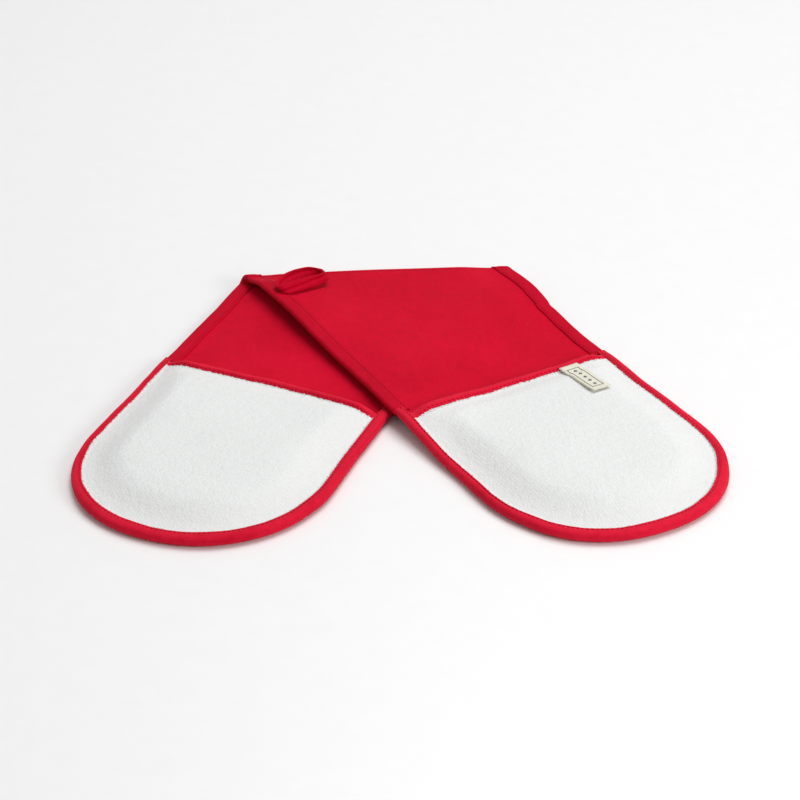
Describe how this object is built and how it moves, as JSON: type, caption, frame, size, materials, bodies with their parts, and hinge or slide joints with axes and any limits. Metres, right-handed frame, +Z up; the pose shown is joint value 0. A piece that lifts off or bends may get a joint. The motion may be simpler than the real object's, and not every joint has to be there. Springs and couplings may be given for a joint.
{
  "type": "double oven glove",
  "caption": "Padded strip with a round-ended terry hand pocket at each end, bound all round, folded on the diagonal, with a hanging loop and a sewn label.",
  "frame": {"origin": "on the table, under the middle of the glove's bounding box", "axes": "+X along the diagonal fold, +Y from the hand pockets towards the fold, +Z up from the table"},
  "size_m": [0.4386, 0.3628, 0.0225],
  "materials": {
    "red_cotton": "woven red cotton twill, matt with a slight sheen",
    "binding_tape": "folded red cotton bias tape, slightly brighter than the cloth",
    "lining": "plain red cotton lining",
    "terry": "white looped terry towelling",
    "wadding": "off-white heat-resistant wadding",
    "thread": "red polyester sewing thread",
    "label_tape": "ivory woven satin tape"
  },
  "bodies": {
    "lower_arm": {"lower_face_fabric": "red_cotton", "lower_wadding": "wadding", "lower_back_fabric": "red_cotton", "lower_binding_left": "binding_tape", "lower_binding_stitch_left": "thread", "lower_binding_right": "binding_tape", "lower_binding_stitch_right": "thread", "lower_pocket_lining": "lining", "lower_pocket_wadding": "wadding", "lower_pocket_terry": "terry", "lower_pocket_mouth_band": "binding_tape", "lower_pocket_mouth_stitch": "thread", "lower_end_binding": "binding_tape", "lower_end_stitch": "thread", "fold_face_fabric": "red_cotton", "fold_wadding": "wadding", "fold_back_fabric": "red_cotton", "fold_binding_left": "binding_tape", "fold_binding_right": "binding_tape"},
    "upper_arm": {"upper_face_fabric": "red_cotton", "upper_wadding": "wadding", "upper_back_fabric": "red_cotton", "upper_binding_left": "binding_tape", "upper_binding_stitch_left": "thread", "upper_binding_right": "binding_tape", "upper_binding_stitch_right": "thread", "upper_pocket_lining": "lining", "upper_pocket_wadding": "wadding", "upper_pocket_terry": "terry", "upper_pocket_mouth_band": "binding_tape", "upper_pocket_mouth_stitch": "thread", "upper_end_binding": "binding_tape", "upper_end_stitch": "thread"},
    "loop": {"hanging_loop": "binding_tape"},
    "tag": {"label": "label_tape"}
  },
  "joints": [
    {"name": "fold_hinge", "type": "hinge", "parent": "lower_arm", "child": "upper_arm", "pos_m": [-0.00328, 0.18158, 0.0066], "axis": [-1, 0, 0], "range_deg": [0, 178], "deforming": ["fold_face_fabric", "fold_wadding", "fold_back_fabric", "fold_binding_left", "fold_binding_right"]},
    {"name": "loop_swing", "type": "hinge", "parent": "upper_arm", "child": "loop", "pos_m": [-0.07049, 0.14783, 0.018], "axis": [0.4368, -0.8996, 0], "range_deg": [0, 170]},
    {"name": "label_flip", "type": "hinge", "parent": "upper_arm", "child": "tag", "pos_m": [0.12673, 0.01915, 0.01485], "axis": [-0.8996, -0.4368, 0], "range_deg": [0, 120]}
  ]
}
